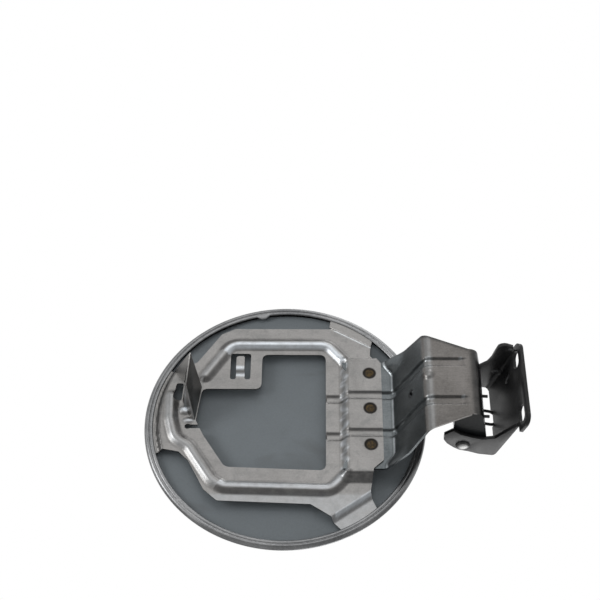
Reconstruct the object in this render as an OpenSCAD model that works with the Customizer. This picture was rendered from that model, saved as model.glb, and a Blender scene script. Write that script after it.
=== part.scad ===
// Round car fuel door with gooseneck hinge, all sizes in millimetres.
// X runs from the bracket plate towards the door, Y goes into the car, Z is up along the hinge pin.
// The origin is the middle of the slot pattern on the plate's outer face.

/* [Door skin] */
// Outside diameter of the round door
door_d = 160; // [150:1:170]
// Thickness of the skin and of the inner panel
sheet_t = 0.9; // [0.7:0.05:1.1]
// Height of the rolled hem over the outer face
hem_h = 4.2; // [3.8:0.1:5]
// Width of the hem seen from inside, from the rim inwards
hem_w = 5; // [4.4:0.1:6]

/* [Inner panel] */
// Height of the ring's top over the outer face
ring_h = 6.5; // [6:0.1:7.5]
// Height of the hinge platform over the ring
platform_rise = 5; // [4:0.1:6]
// Height of the platform along the pin direction
platform_w = 74; // [70:1:78]
// Radius of the round bead pressed along the ring
bead_r = 4; // [3.6:0.1:4.6]
// Height of that bead over the ring
bead_h = 2.2; // [1.8:0.1:2.8]
// Diameter of the three weld marks
weld_d = 7; // [6:0.25:8]
// Depth of the three weld marks
weld_depth = 0.3; // [0.2:0.05:0.5]
// Distance between neighbouring weld marks
weld_gap = 23.7; // [21:0.1:25]
// Height of the striker's peak over the outer face
striker_h = 31; // [26:0.5:36]

/* [Hinge arm] */
// Thickness of the arm sheet
arm_t = 1.3; // [1.1:0.05:1.5]
// Distance from the door's centre to the pin axis
pin_reach = 98; // [94:0.5:104]
// Height of the pin axis over the outer face
pin_h = 16.5; // [15:0.25:18]
// Height of the gooseneck's top over the outer face
neck_h = 45; // [42:0.5:48]
// Slope of the gooseneck's riser
neck_angle = 65; // [60:1:70]
// Outer radius of the bend between the arm's top and the curl's wall
curl_r = 5.5; // [5:0.25:6.5]
// Distance from the pin axis to the curl's wall
curl_reach = 12.6; // [12.2:0.1:13.2]
// Width of the arm where it leaves the platform
arm_foot_w = 70; // [66:1:72]
// Width of the arm where the riser meets the top
arm_top_w = 62.5; // [56:0.5:66]
// Width of the arm's curled end
arm_end_w = 42; // [40:0.25:42.4]
// Distance of each pressed groove from the middle
groove_pos = 12.4; // [11.5:0.1:13.5]
// Width of a pressed groove
groove_w = 5.4; // [4.6:0.1:6]
// Depth of a pressed groove
groove_d = 1; // [0.7:0.05:1.15]
// Length of each rolled knuckle along the pin
knuckle_l = 12; // [10.5:0.25:12.25]

/* [Hinge bracket] */
// Thickness of the bracket sheet
bracket_t = 2; // [1.6:0.1:2.4]
// Inner radius of the bends between plate and ears
bend_r = 2; // [1.5:0.1:2.5]
// Distance from the pin axis to the plate's outer face
plate_dist = 23; // [22:0.25:24.5]
// Clear gap between the two ears
ear_gap = 43; // [42.8:0.1:45]
// Distance from the pin axis to the slots, along the plate
slot_reach = 31.5; // [30.5:0.25:33]
// Distance between the two slots
slot_gap = 34.6; // [33:0.1:36]
// Length of a slot
slot_l = 10.6; // [9.5:0.1:11.5]
// Width of a slot
slot_w = 6.6; // [6:0.1:7.5]

/* [Pin and spring] */
// Diameter of the pin
pin_d = 6; // [5.6:0.1:6.2]
// Diameter of the riveted heads
head_d = 8; // [7.4:0.1:9]
// Height of the riveted heads
head_h = 1.4; // [1:0.1:1.8]
// Running clearance all round the pin
pin_gap = 0.05; // [0.03:0.01:0.08]
// Diameter of the spring wire
wire_d = 1.8; // [1.6:0.1:1.9]
// Distance between the two wires of the spring's U-loop
loop_w = 8.6; // [8.2:0.1:9.2]

/* [Pose] */
// How far the door stands open
rest_open = 18; // [0:1:40]

/* [Hidden] */
$fn = 48;
eps = 0.01;
k = door_d / 160;
door_r = door_d / 2;
pin_x = plate_dist;
pin_y = -slot_reach;
platform_h = ring_h + platform_rise;
tab_h = hem_h - sheet_t;
platform_edge = -55 * k;
foot_x = pin_reach + platform_edge - 6.7;
foot_y = platform_h - sheet_t - pin_h;
top_y = neck_h - pin_h;
foot_r = 3;
neck_r = 5;
curl_x = -3.5;
low_r = 9;
knuckle_r = pin_d / 2 + pin_gap + arm_t;
end_x = -curl_reach;
coil_r = pin_d / 2 + 0.35 + wire_d / 2;
ear_z = ear_gap / 2;
plate_far = slot_reach + 6.5;
plate_near = -4;
window_w = arm_end_w - 2 * knuckle_l;

function arc(c, r, a0, a1, n = 8) =
    [for (i = [0:n]) c + r * [cos(a0 + (a1 - a0) * i / n), sin(a0 + (a1 - a0) * i / n)]];

// Frames
// Moves a shape from the pin's own place to its place beside the plate.
module at_pin() {
    translate([pin_x, pin_y, 0])
        children();
}

// Turns the door about the pin by the angle at which it stands open.
module door_frame() {
    at_pin()
        rotate([0, 0, -rest_open])
            children();
}

// Lays a shape drawn face up on the door: x across, y up the car, z inwards from the outer face.
module on_door() {
    door_frame()
        translate([pin_reach, -pin_h, 0])
            rotate([90, 0, 0])
                mirror([0, 0, 1])
                    children();
}

module slab(top, t) {
    translate([0, 0, top - t])
        linear_extrude(t)
            children();
}

// Outer panel
module hem_section() {
    roll_r = hem_h / 2;
    square([door_r - roll_r, sheet_t]);
    translate([door_r - hem_w, hem_h - sheet_t])
        square([hem_w - roll_r, sheet_t]);
    intersection() {
        translate([door_r - roll_r, roll_r])
            difference() {
                circle(roll_r);
                circle(roll_r - sheet_t);
            }
        translate([door_r - roll_r - eps, 0])
            square([roll_r + 1, hem_h]);
    }
}

module outer_panel() {
    color("silver")
        on_door()
            difference() {
                rotate_extrude($fn = 120)
                    hem_section();
                // small notch in the hem's inner edge
                translate([15 * k, (door_r - hem_w) * 0.98, tab_h - eps])
                    cylinder(d = 4, h = 2 * sheet_t);
            }
}

// Inner panel
module rounded(r) {
    offset(r)
        offset(-r)
            children();
}

module ring_outline() {
    polygon(k * [
        [-27, 62], [30.6, 62], [38.4, 58], [43.7, 50], [51.9, 37.7], [64, 32],
        [70, 16], [71.4, 0], [68, -20.6], [58.9, -22.3], [53.3, -28], [43.8, -46], [36.2, -52.8],
        [-14.7, -54.7], [-26, -62], [-47.5, -46.7], [-49.4, -35], [-55, -30], [-55, 34], [-49, 43],
        [-49.6, 49]
    ]);
}

module ring_opening() {
    rounded(3)
        polygon(k * [
            [-23.2, 43.4], [14, 43.4], [14, 19.4], [48, 19.4], [50.6, -2], [45.8, -11.7],
            [33.5, -31], [31, -32], [-23.2, -34]
        ]);
    translate(k * [55, -6])
        circle(d = 3.4);
    translate(k * [45, -7.2])
        square(k * [10, 2.4]);
}

bead_top = [[-35, 39], [-24, 50.3], [32.3, 50.3], [46.5, 28]];
bead_low = [
    [65.3, 14], [64.8, -1], [61.5, -13.5], [53.4, -19],
    [39.7, -40.4], [33.3, -44.4], [-26.1, -46], [-35, -37]
];

// Half width of the bead at a height over the ring's top.
function bead_half(h) = sqrt(max(0, pow(bead_r, 2) - pow(bead_r - bead_h + h, 2)));

module bead_stroke(points, half) {
    offset(half, $fn = 24)
        polygon(concat(
            points,
            [for (i = [len(points) - 1:-1:0]) points[i] + [0.03, 0.011]]
        ));
}

// The bead as thin steps of its round section, lowered by a depth.
module beads(depth) {
    steps = 4;
    step_h = bead_h / steps;
    for (i = [0:steps - 1])
        for (points = [k * bead_top, k * bead_low])
            translate([0, 0, ring_h - 0.97 * depth + (i == 0 ? -sheet_t : i * step_h)])
                linear_extrude(i == 0 ? sheet_t + step_h : step_h)
                    bead_stroke(points, bead_half((i + 0.5) * step_h) - 0.37 * depth);
}

// Where the platform stands, risers included.
module platform_area(grow) {
    polygon([
        [-37 * k + grow, platform_w / 2 + grow / 1.7], [-37 * k + grow, -platform_w / 2 - grow / 1.7],
        [-70 * k, -platform_w / 2 - grow / 1.7], [-70 * k, platform_w / 2 + grow / 1.7]
    ]);
}

module platform_outline() {
    polygon([
        [-37 * k, platform_w / 2], [-37 * k, -platform_w / 2], [-49 * k, -platform_w / 2],
        [platform_edge, -platform_w / 2 + 5], [platform_edge, platform_w / 2 - 5], [-49 * k, platform_w / 2]
    ]);
}

// The three sloped walls from the ring up to the platform.
module platform_risers() {
    run_x = 6.5;
    run_y = 4;
    side_l = 12 * k;
    rotate([90, 0, 0])
        linear_extrude(platform_w + run_y, center = true)
            polygon([
                [-37 * k + run_x, ring_h], [-37 * k + run_x, ring_h - sheet_t],
                [-37 * k, platform_h - sheet_t], [-37 * k, platform_h]
            ]);
    for (side = [-1, 1])
        scale([1, side, 1])
            translate([-49 * k, 0, 0])
                rotate([90, 0, 90])
                    linear_extrude(side_l + 2)
                        polygon([
                            [platform_w / 2 + run_y, ring_h], [platform_w / 2 + run_y, ring_h - sheet_t],
                            [platform_w / 2, platform_h - sheet_t], [platform_w / 2, platform_h]
                        ]);
}

// A groove strip across the platform, in two steps.
module groove_strips(width, more = 0) {
    for (side = [-1, 1])
        translate([-72 * k - more, side * groove_pos - width / 2, -50 - more])
            cube([50 * k + 2 * more, width, 100 + 2 * more]);
}

module groove_strip_edges() {
    difference() {
        groove_strips(groove_w);
        groove_strips(groove_w * 0.64, 1);
    }
}

module ring_sheet() {
    slab(ring_h, sheet_t)
        difference() {
            ring_outline();
            ring_opening();
            platform_area(6.5);
        }
    slab(platform_h, sheet_t)
        platform_outline();
    platform_risers();
}

// Hem tabs: slanted steps down from the ring at the hinge side, a curved one at the latch side.
module tab_outline(points) {
    intersection() {
        polygon(k * points);
        circle(door_r - 2.6);
    }
}

module lower_tab() {
    slab(tab_h, sheet_t)
        tab_outline([[-28.4, -64.2], [-48.6, -50.4], [-51, -56], [-46, -66], [-34, -72]]);
    hull()
        for (p = [[-26, -62, ring_h], [-47.4, -47, ring_h], [-28.4, -64.4, tab_h], [-48.7, -50.3, tab_h]])
            translate([k * p[0], k * p[1], p[2] - sheet_t])
                cylinder(d = 0.8, h = sheet_t, $fn = 8);
}

module upper_tab() {
    slab(tab_h, sheet_t)
        tab_outline([[-27, 65.4], [-49.6, 52.6], [-51, 57], [-44, 68], [-30, 74], [-24, 68]]);
    hull()
        for (p = [[-27, 61.7, ring_h], [-49.2, 48.8, ring_h], [-27, 65.6, tab_h], [-49.6, 52.8, tab_h]])
            translate([k * p[0], k * p[1], p[2] - sheet_t])
                cylinder(d = 0.8, h = sheet_t, $fn = 8);
}

module latch_tab() {
    inset = 0.05;
    top = ring_h - inset;
    rotate([0, 0, -16.5])
        rotate_extrude(angle = 43, $fn = 120)
            polygon([
                [door_r - 12, top - sheet_t + 2 * inset], [door_r - 12, top], [door_r - 7.8, top],
                [door_r - 6.4, tab_h], [door_r - 2.6, tab_h], [door_r - 2.6, tab_h - sheet_t],
                [door_r - 7, tab_h - sheet_t], [door_r - 8.3, top - sheet_t + 2 * inset]
            ]);
}

// Striker: two leaning faces folded up from the ring, meeting in a ridge under the peak.
module sheet_face(points) {
    hull()
        for (p = points)
            translate(p)
                rotate([0, 0, 20])
                    cube([sheet_t, sheet_t, sheet_t], center = true);
}

module striker() {
    peak = [53.8 * k, 27.5 * k, striker_h];
    ridge = [56 * k, 12 * k, ring_h + 15];
    toe = [51.4 * k, -2 * k, ring_h];
    sheet_face([peak, [48.6 * k, 20.5 * k, ring_h - 0.5], toe, ridge]);
    sheet_face([peak, [64.6 * k, 32 * k, ring_h - 0.5], [58.5 * k, 24 * k, ring_h - 0.5]]);
    sheet_face([ridge, toe, [58.6 * k, 11 * k, ring_h - 0.4], [56.5 * k, 4 * k, ring_h - 0.4]]);
}

module striker_window() {
    translate([0, 0, -1])
        linear_extrude(20)
            polygon(k * [[63, 23], [58.8, 23], [59.4, 11], [64.5, 11.6]]);
}

// Lanced tab: a window with a tongue left standing from its lower side.
module tongue_window() {
    translate([0, 0, -1])
        linear_extrude(20)
            rounded(3)
                translate(k * [20.6, 26])
                    square(k * [11.8, 18]);
}

module tongue() {
    rise = 1.6;
    translate([k * 24, 0, ring_h])
        rotate([90, 0, 90])
            linear_extrude(k * 5)
                polygon([
                    [k * 26, 0], [k * 29, 0], [k * 33, rise], [k * 42.6, rise],
                    [k * 42.6, rise - sheet_t], [k * 33.4, rise - sheet_t],
                    [k * 29.4, -sheet_t], [k * 26, -sheet_t]
                ]);
}

module inner_panel() {
    color("gainsboro")
        on_door()
            difference() {
                union() {
                    difference() {
                        union() {
                            difference() {
                                ring_sheet();
                                groove_strips(groove_w);
                            }
                            intersection() {
                                translate([0, 0, -0.6 * groove_d])
                                    ring_sheet();
                                groove_strip_edges();
                            }
                            intersection() {
                                translate([0, 0, -groove_d])
                                    ring_sheet();
                                groove_strips(groove_w * 0.64);
                            }
                            beads(0);
                        }
                        beads(sheet_t);
                        striker_window();
                        tongue_window();
                    }
                    tongue();
                    lower_tab();
                    upper_tab();
                    latch_tab();
                    striker();
                }
                for (i = [-1:1])
                    translate([-48.2 * k, 3.6 + i * weld_gap, platform_h - weld_depth])
                        cylinder(d = weld_d, h = 5);
            }
}

// Hinge arm
module sector(c, r0, r1, a0, a1) {
    far = 2 * r1;
    translate(c)
        intersection() {
            difference() {
                circle(r1);
                circle(r0);
            }
            polygon(concat([[0, 0]], arc([0, 0], far, a0, a1, 4)));
        }
}

function backwards(points) = [for (i = [len(points) - 1:-1:0]) points[i]];

// The arm's surface at a depth under its back, from the flange up the riser to the top.
function neck_path(d) =
    let (foot_c = [foot_x + foot_r * sin(neck_angle), foot_y + foot_r])
    let (low = foot_c - foot_r * [sin(neck_angle), cos(neck_angle)])
    let (high_y = top_y - neck_r + neck_r * cos(neck_angle))
    let (high = [low[0] - (high_y - low[1]) / tan(neck_angle), high_y])
    let (neck_c = high - neck_r * [sin(neck_angle), cos(neck_angle)])
    concat(
        [[pin_reach - 37 * k, foot_y - d]],
        arc(foot_c, foot_r + d, 270, 270 - neck_angle, 6),
        arc(neck_c, neck_r - d, 90 - neck_angle, 90, 8),
        [[curl_x, top_y - d]]
    );

// Its surface at a depth from the top, down the leaning wall and round to the knuckles.
function curl_path(d) =
    let (high_c = [curl_x, top_y - curl_r])
    let (low_c = [end_x + low_r, low_r - knuckle_r])
    let (v = low_c - high_c)
    let (wall_a = 360 + atan2(v[1], v[0]) - acos(-(low_r - curl_r) / norm(v)))
    concat(
        arc(high_c, curl_r - d, 90, wall_a, 10),
        arc(low_c, low_r - d, wall_a, 270, 14),
        [[0, d - knuckle_r]]
    );

module neck_section(d0, d1) {
    polygon(concat(neck_path(d0), backwards(neck_path(d1))));
}

module curl_section() {
    polygon(concat(curl_path(0), backwards(curl_path(arm_t))));
    sector([0, 0], knuckle_r - arm_t, knuckle_r, -90, 200);
}

module arm_plan() {
    high_x = foot_x - (top_y - foot_y) / tan(neck_angle);
    polygon([
        [pin_reach, arm_foot_w / 2], [foot_x, arm_foot_w / 2],
        [high_x, arm_top_w / 2], [high_x - 4, arm_top_w / 2 - 1.5],
        [curl_x, arm_end_w / 2], [curl_x - 5, arm_end_w / 2],
        [curl_x - 5, -arm_end_w / 2], [curl_x, -arm_end_w / 2],
        [high_x - 4, -arm_top_w / 2 + 1.5], [high_x, -arm_top_w / 2],
        [foot_x, -arm_foot_w / 2], [pin_reach, -arm_foot_w / 2]
    ]);
}

module arm_grooves(width, more = 0) {
    for (side = [-1, 1])
        translate([curl_x + 1.5 - more, -50 - more, side * groove_pos - width / 2])
            cube([100 + 2 * more, 100 + 2 * more, width]);
}

module arm_groove_edges() {
    difference() {
        arm_grooves(groove_w);
        arm_grooves(groove_w * 0.64, 1);
    }
}

// Flange, riser and top with the two grooves pressed in, cut to the outline seen from the back.
module neck_sheet() {
    difference() {
        union() {
            difference() {
                linear_extrude(100, center = true)
                    neck_section(0, arm_t);
                arm_grooves(groove_w);
            }
            intersection() {
                linear_extrude(100, center = true)
                    neck_section(0.6 * groove_d, 0.6 * groove_d + arm_t);
                arm_groove_edges();
            }
            intersection() {
                linear_extrude(100, center = true)
                    neck_section(groove_d, groove_d + arm_t);
                arm_grooves(groove_w * 0.64);
            }
        }
        rotate([90, 0, 0])
            linear_extrude(200, center = true)
                difference() {
                    translate([-100, -100])
                        square(200);
                    arm_plan();
                }
    }
}

module side_cheek(z, free_x) {
    translate([0, 0, z])
        linear_extrude(arm_t)
            intersection() {
                polygon([
                    [free_x, top_y - 0.5], [free_x - 0.5, top_y / 2],
                    [min(free_x, knuckle_r) - 1, knuckle_r - 1],
                    [-2, knuckle_r - 1], [-6, -knuckle_r + 0.4], [end_x + 5, -knuckle_r + 0.6],
                    [end_x + 0.6, 2], [end_x + 0.6, 40], [free_x, 40]
                ]);
                polygon(concat(curl_path(0.6), [[20, 0.6 - knuckle_r], [20, top_y - 0.6]]));
            }
}

module hinge_arm() {
    color("gray")
        door_frame()
            difference() {
                union() {
                    neck_sheet();
                    linear_extrude(arm_end_w, center = true)
                        curl_section();
                    side_cheek(-arm_end_w / 2, curl_x + 10);
                    side_cheek(arm_end_w / 2 - arm_t, curl_x + 1.5);
                }
                // window for the spring between the knuckles
                translate([end_x - 5, -10, -window_w / 2])
                    cube([-end_x + 5 + knuckle_r + 1, 10 + 8.5, window_w]);
                // round hole in the riser
                translate([foot_x - 10, 13, 2])
                    rotate([0, 90, 90 - neck_angle])
                        cylinder(d = 3, h = 20, center = true);
            }
}

// Hinge bracket
// The channel seen along the plate: plate and two ears with round bends.
module channel_section() {
    out_z = ear_z + bracket_t;
    outer_r = bend_r + bracket_t;
    bend_x = -plate_dist + outer_r;
    difference() {
        union() {
            translate([bend_x, -out_z])
                square([20 - bend_x, 2 * out_z]);
            translate([-plate_dist, -out_z + outer_r])
                square([outer_r + 1, 2 * (out_z - outer_r)]);
            for (side = [-1, 1])
                translate([bend_x, side * (out_z - outer_r)])
                    circle(outer_r);
        }
        translate([bend_x, -ear_z])
            square([40, 2 * ear_z]);
        translate([-plate_dist + bracket_t, -ear_z + bend_r])
            square([bend_r + 1, 2 * (ear_z - bend_r)]);
        for (side = [-1, 1])
            translate([bend_x, side * (ear_z - bend_r)])
                circle(bend_r);
    }
}

module lower_ear_outline() {
    polygon([
        [-25, plate_near + 1.5], [-21, plate_near - 0.5], [-12, -5.7], [-5, -5], [0, -5], [4, -3.6],
        [9, -0.8], [12.2, 2.4], [13.5, 6.5], [10.6, 12], [5, 9.6], [-2, 8.8], [-8, 8.8], [-14, 12],
        [-17, 20], [-19.5, slot_reach - 4.5], [-25, slot_reach - 4.5]
    ]);
}

module upper_ear_outline() {
    polygon(concat(
        [
            [-25, plate_near], [-21, plate_near - 0.8], [-12, -5.7], [-5, -5.4], [0, -5.4], [5, -4.8],
            [10, -3], [13, 0.5], [14, 6], [13.4, 14], [12.6, 19], [9.8, 18.6], [9.2, 12], [8, 8.6], [4, 7.4],
            [-2, 8.4], [-7, 12], [-10.5, 18], [-11, 23], [-10.4, 28]
        ],
        arc([-14, 32.5], 4.2, 20, 100, 5),
        [[-18, plate_far - 1.8], [-19.6, plate_far - 5], [-25, plate_far - 5]]
    ));
}

module plate_outline() {
    tab_z = slot_gap / 2 + slot_l / 2 + 3.8;
    // main part between the ears
    translate([plate_near, -ear_z - bracket_t])
        square([slot_reach - 4.5 - plate_near, 2 * ear_z + 2 * bracket_t]);
    // tab that carries the slots, round at its ends
    rounded(5)
        translate([slot_reach - 12, -tab_z])
            square([plate_far - slot_reach + 12, 2 * tab_z]);
}

module ears() {
    low_z = ear_z - bend_r;
    intersection() {
        rotate([90, 0, 0])
            translate([0, 0, -60])
                linear_extrude(80)
                    channel_section();
        union() {
            translate([0, 0, -60])
                linear_extrude(60 - low_z)
                    lower_ear_outline();
            translate([0, 0, low_z])
                linear_extrude(60)
                    upper_ear_outline();
        }
    }
}

module plate() {
    translate([-plate_dist, 0, 0])
        rotate([90, 0, 90])
            linear_extrude(bracket_t)
                plate_outline();
}

module plate_slots() {
    translate([-plate_dist - 1, slot_reach, 0])
        for (side = [-1, 1])
            translate([0, 0, side * slot_gap / 2])
                rotate([0, 90, 0]) {
                    translate([-(slot_l - slot_w) / 2, -slot_w / 2, 0])
                        cube([slot_l - slot_w, slot_w, bracket_t + 2]);
                    for (end = [-1, 1])
                        translate([end * (slot_l - slot_w) / 2, 0, 0])
                            cylinder(d = slot_w, h = bracket_t + 2);
                }
}

// Notch in the plate's near edge that holds the spring's loop.
module loop_notch() {
    translate([-plate_dist - 1, plate_near - 5, -loop_w / 2 - wire_d / 2 - 0.3])
        cube([bracket_t + 2, 5 + wire_d + 0.2, loop_w + wire_d + 0.6]);
}

module hinge_bracket() {
    out_z = ear_z + bracket_t;
    color("dimgray")
        at_pin()
            difference() {
                union() {
                    ears();
                    difference() {
                        plate();
                        // the bends take the plate's corners between the ears
                        for (side = [-1, 1])
                            scale([1, 1, side])
                                translate([-plate_dist - 1, -30, ear_z - bend_r])
                                    cube([bracket_t + 2, 30 + slot_reach - 4.5, 20]);
                    }
                }
                plate_slots();
                loop_notch();
                cylinder(d = pin_d + 2 * pin_gap, h = 100, center = true);
            }
}

// Hinge pin
module hinge_pin() {
    out_z = ear_z + bracket_t;
    color("lightgray")
        at_pin() {
            cylinder(d = pin_d, h = 2 * out_z + head_h, center = true);
            for (side = [-1, 1])
                scale([1, 1, side])
                    translate([0, 0, out_z + 0.05])
                        rotate_extrude()
                            intersection() {
                                translate([0, head_h - head_d])
                                    circle(head_d);
                                square([head_d / 2, head_h]);
                            }
        }
}

// Torsion spring
module wire(a, b) {
    d = b - a;
    translate(a)
        rotate([0, acos(d[2] / norm(d)), atan2(d[1], d[0])])
            cylinder(d = 0.96 * wire_d, h = norm(d));
}

module torsion_spring() {
    coil_in = loop_w / 2;
    pitch = wire_d * 0.88;
    loop_far = -plate_dist - wire_d / 2;
    loop_y = plate_near + 0.6;
    color("black")
        at_pin() {
            for (side = [-1, 1])
                scale([1, 1, side]) {
                    rotate_extrude()
                        for (i = [0:1])
                            translate([coil_r, coil_in + i * pitch])
                                circle(d = wire_d);
                    wire([0, -coil_r, coil_in], [loop_far + coil_in, loop_y, coil_in]);
                    translate([loop_far + coil_in, loop_y, coil_in])
                        rotate([0, 90, 0])
                            sphere(d = 1.1 * wire_d, $fn = 16);
                    wire([0, coil_r, coil_in + pitch], [end_x - 1.5, 7.4, coil_in + pitch]);
                }
            translate([loop_far + coil_in, loop_y, 0])
                rotate([90, 0, 0])
                    rotate([0, 0, 90])
                        rotate_extrude(angle = 180)
                            translate([coil_in, 0])
                                circle(d = 0.96 * wire_d);
        }
}

outer_panel();
inner_panel();
hinge_arm();
hinge_bracket();
hinge_pin();
torsion_spring();
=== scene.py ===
import math

import bpy
from mathutils import Matrix, Vector


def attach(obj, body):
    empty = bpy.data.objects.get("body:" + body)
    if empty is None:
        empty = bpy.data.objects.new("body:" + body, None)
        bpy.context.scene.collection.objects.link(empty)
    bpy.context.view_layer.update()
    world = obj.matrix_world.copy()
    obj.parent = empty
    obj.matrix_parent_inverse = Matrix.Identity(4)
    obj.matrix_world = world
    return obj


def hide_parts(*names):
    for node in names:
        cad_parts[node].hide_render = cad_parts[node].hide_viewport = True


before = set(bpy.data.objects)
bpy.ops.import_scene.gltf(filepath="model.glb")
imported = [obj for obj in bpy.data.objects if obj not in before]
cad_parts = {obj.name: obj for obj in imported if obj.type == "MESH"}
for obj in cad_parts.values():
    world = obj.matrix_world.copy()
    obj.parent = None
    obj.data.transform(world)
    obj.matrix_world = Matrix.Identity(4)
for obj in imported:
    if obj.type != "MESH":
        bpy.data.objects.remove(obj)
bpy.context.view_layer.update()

# Camera, white studio and lights.
# The camera looks at the inside of the door from a little below, as in the photograph.
scene = bpy.context.scene
camera_data = bpy.data.cameras.new("camera")
camera_data.sensor_width = 36
camera_data.lens = 75.685
camera = bpy.data.objects.new("camera", camera_data)
camera.location = (0.28430, 0.51289, -0.38084)
camera.rotation_euler = [math.radians(a) for a in (127.3732, -0.6069, 162.4869)]
scene.collection.objects.link(camera)
scene.camera = camera
scene.view_settings.view_transform = "Standard"

world = bpy.data.worlds.new("white studio")
scene.world = world
world.use_nodes = True
nodes, links = world.node_tree.nodes, world.node_tree.links
nodes.clear()
light_path = nodes.new("ShaderNodeLightPath")
seen = light_path.outputs["Is Camera Ray"]
for ray in ("Is Glossy Ray", "Is Transmission Ray"):
    either = nodes.new("ShaderNodeMath")
    either.operation = "MAXIMUM"
    links.new(seen, either.inputs[0])
    links.new(light_path.outputs[ray], either.inputs[1])
    seen = either.outputs[0]
direction = nodes.new("ShaderNodeTexCoord")
height = nodes.new("ShaderNodeSeparateXYZ")
links.new(direction.outputs["Generated"], height.inputs[0])
sky_level = nodes.new("ShaderNodeValToRGB")
sky_level.color_ramp.elements[0].position = 0.0
sky_level.color_ramp.elements[0].color = (0.42, 0.42, 0.43, 1)
sky_level.color_ramp.elements[1].position = 1.0
sky_level.color_ramp.elements[1].color = (1.0, 1.0, 1.0, 1)
rise = nodes.new("ShaderNodeMath")
rise.operation = "MULTIPLY_ADD"
rise.inputs[1].default_value = 0.5
rise.inputs[2].default_value = 0.5
links.new(height.outputs["Z"], rise.inputs[0])
links.new(rise.outputs[0], sky_level.inputs[0])
ambient = nodes.new("ShaderNodeBackground")
ambient.inputs["Strength"].default_value = 0.5
links.new(sky_level.outputs[0], ambient.inputs["Color"])
white = nodes.new("ShaderNodeBackground")
white.inputs["Color"].default_value = (1, 1, 1, 1)
white.inputs["Strength"].default_value = 1.0
which = nodes.new("ShaderNodeMixShader")
links.new(seen, which.inputs[0])
links.new(ambient.outputs[0], which.inputs[1])
links.new(white.outputs[0], which.inputs[2])
world_out = nodes.new("ShaderNodeOutputWorld")
links.new(which.outputs[0], world_out.inputs[0])


def area_light(name, place, target, size, watts):
    """A square soft box that points at a target."""
    data = bpy.data.lights.new(name, "AREA")
    data.size = size
    data.energy = watts
    lamp = bpy.data.objects.new(name, data)
    lamp.location = place
    lamp.rotation_euler = (Vector(target) - Vector(place)).to_track_quat("-Z", "Y").to_euler()
    scene.collection.objects.link(lamp)


middle = (0.09, -0.03, 0.0)
area_light("soft box over the inside", (0.429, 0.882, 0.543), middle, 0.72, 1.55)
area_light("lamp at the latch side", (1.03, 0.15, 0.05), middle, 0.32, 3.2)
area_light("soft box above", (-0.1, 0.3, 1.1), middle, 0.5, 2.5)
area_light("soft box below and behind", (-0.4, -0.75, -0.4), middle, 0.5, 2.5)
area_light("soft box before the skin", (-0.25, -1.0, 0.7), middle, 0.6, 2.9)

bpy.ops.object.select_all(action="DESELECT")
bpy.ops.mesh.primitive_plane_add(size=12, location=(0.08, 0, -0.72))
floor = bpy.context.object
floor.name = "floor"
paper = bpy.data.materials.new("pale floor")
paper.use_nodes = True
nodes, links = paper.node_tree.nodes, paper.node_tree.links
paper_shader = nodes["Principled BSDF"]
paper_shader.inputs["Base Color"].default_value = (0.86, 0.86, 0.86, 1)
paper_shader.inputs["Roughness"].default_value = 0.9
paper_grain = nodes.new("ShaderNodeTexNoise")
paper_grain.inputs["Scale"].default_value = 60
paper_bump = nodes.new("ShaderNodeBump")
paper_bump.inputs["Strength"].default_value = 0.03
links.new(paper_grain.outputs[0], paper_bump.inputs["Height"])
links.new(paper_bump.outputs[0], paper_shader.inputs["Normal"])
floor.data.materials.append(paper)

# Outer panel: the round skin of the door.
# Deep-drawn steel sheet, bare outside and primed inside, with its rim folded inwards to a hem.
# The profile is spun about the middle of the door, then laid on the open door.
MM = 0.001
door_r, rim_r = 80.0, 2.4
skin_t = 0.9
hem_top = 4.2
pin_reach, pin_height = 98.0, 16.5
door_open = math.radians(18)
pin_place = Vector((23.0, -31.5, 0.0))
across = Vector((-math.cos(door_open), math.sin(door_open), 0))
inwards = Vector((math.sin(door_open), math.cos(door_open), 0))
door_centre = pin_place - pin_reach * across - pin_height * inwards
# x towards the hinge, y up the car and z inwards from the outer face, in millimetres
door_place = Matrix((
    (across.x * MM, 0, inwards.x * MM, door_centre.x * MM),
    (across.y * MM, 0, inwards.y * MM, door_centre.y * MM),
    (0, MM, 0, 0),
    (0, 0, 0, 1),
))


def only(obj):
    """Makes one object the only selected and active one."""
    if bpy.context.object and bpy.context.object.mode != "OBJECT":
        bpy.ops.object.mode_set(mode="OBJECT")
    bpy.ops.object.select_all(action="DESELECT")
    obj.select_set(True)
    bpy.context.view_layer.objects.active = obj


def apply_modifier(obj, name, kind, **settings):
    modifier = obj.modifiers.new(name, kind)
    for key, value in settings.items():
        setattr(modifier, key, value)
    only(obj)
    bpy.ops.object.modifier_apply(modifier=modifier.name)


def clean(obj, distance):
    """Merges doubles and turns all faces outwards."""
    only(obj)
    bpy.ops.object.mode_set(mode="EDIT")
    bpy.ops.mesh.select_all(action="SELECT")
    bpy.ops.mesh.remove_doubles(threshold=distance)
    bpy.ops.mesh.normals_make_consistent(inside=False)
    bpy.ops.object.mode_set(mode="OBJECT")


def settle(obj, place, angle=35):
    """Puts the finished mesh in its place and smooths all but its sharp edges."""
    obj.data.transform(place)
    obj.data.update()
    only(obj)
    bpy.ops.object.shade_smooth_by_angle(angle=math.radians(angle))


def mesh_object(name, points, edges, faces):
    """A new mesh object from its points, selected and active."""
    mesh = bpy.data.meshes.new(name)
    mesh.from_pydata(points, edges, faces)
    obj = bpy.data.objects.new(name, mesh)
    scene.collection.objects.link(obj)
    only(obj)
    return obj


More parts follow.
